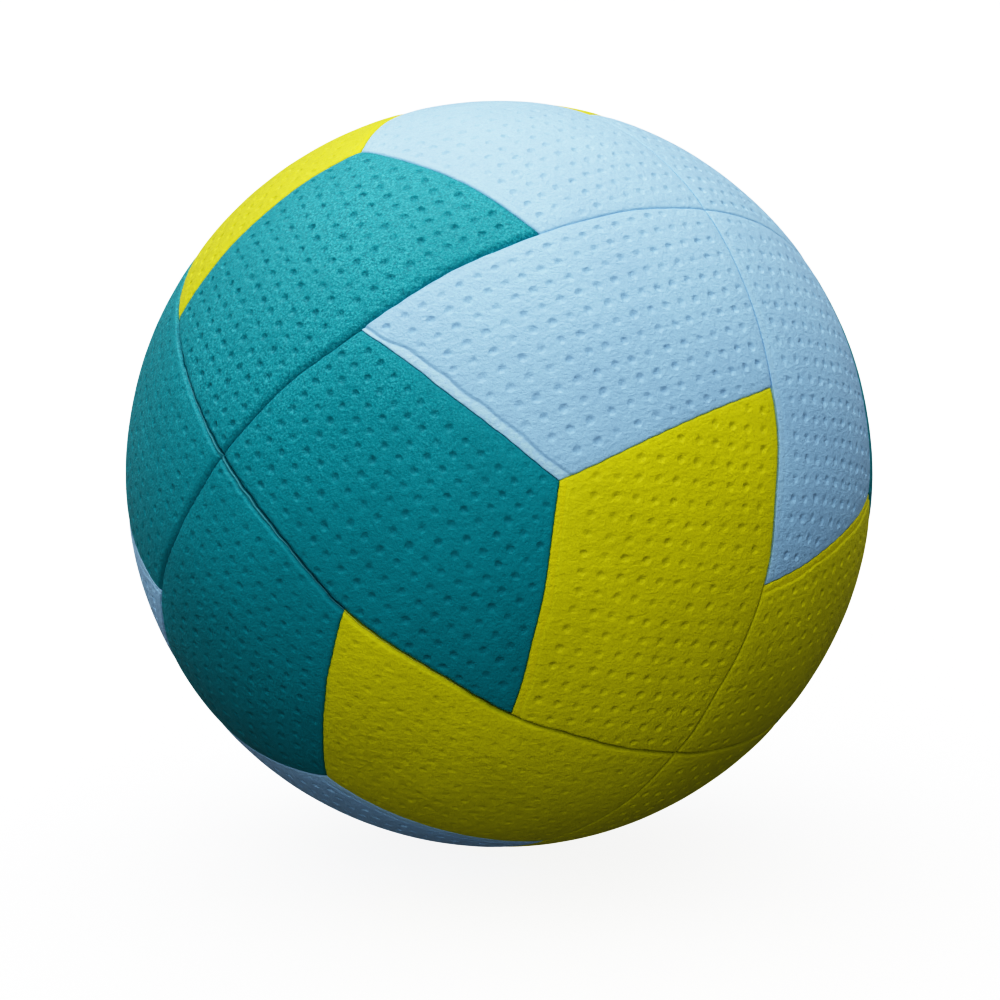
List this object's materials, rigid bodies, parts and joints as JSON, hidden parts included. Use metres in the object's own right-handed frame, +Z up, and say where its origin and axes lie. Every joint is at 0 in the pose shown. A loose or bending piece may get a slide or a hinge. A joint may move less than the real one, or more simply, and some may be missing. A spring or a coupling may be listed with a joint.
{
  "type": "handball",
  "caption": "Small handball with twisted four-sided cover panels in teal, yellow and light blue over a rubber carcass, winding, bladder and valve.",
  "frame": {"origin": "the ball's centre, which is the centre of its box", "axes": "+Z up as the ball lies, +X to the right and -Y towards the front view; the three seam circles are turned 39.5, 9.6 and 135.9 degrees back about X, Y and Z from these axes"},
  "size_m": [0.15, 0.15, 0.15],
  "materials": {
    "teal_cover": "matte, dimpled",
    "yellow_cover": "matte, dimpled",
    "light_blue_cover": "matte, dimpled",
    "carcass_rubber": "matte",
    "winding_thread": "matte",
    "bladder_rubber": "satin",
    "valve_rubber": "satin"
  },
  "bodies": {
    "root": {"teal_panel_1": "teal_cover", "teal_panel_2": "teal_cover", "teal_panel_3": "teal_cover", "teal_panel_4": "teal_cover", "teal_panel_5": "teal_cover", "teal_panel_6": "teal_cover", "teal_panel_7": "teal_cover", "teal_panel_8": "teal_cover", "yellow_panel_1": "yellow_cover", "yellow_panel_2": "yellow_cover", "yellow_panel_3": "yellow_cover", "yellow_panel_4": "yellow_cover", "yellow_panel_5": "yellow_cover", "yellow_panel_6": "yellow_cover", "yellow_panel_7": "yellow_cover", "yellow_panel_8": "yellow_cover", "light_blue_panel_1": "light_blue_cover", "light_blue_panel_2": "light_blue_cover", "light_blue_panel_3": "light_blue_cover", "light_blue_panel_4": "light_blue_cover", "light_blue_panel_5": "light_blue_cover", "light_blue_panel_6": "light_blue_cover", "light_blue_panel_7": "light_blue_cover", "light_blue_panel_8": "light_blue_cover", "carcass": "carcass_rubber", "winding": "winding_thread", "bladder": "bladder_rubber", "valve_housing": "valve_rubber", "valve_core": "valve_rubber"}
  },
  "joints": []
}
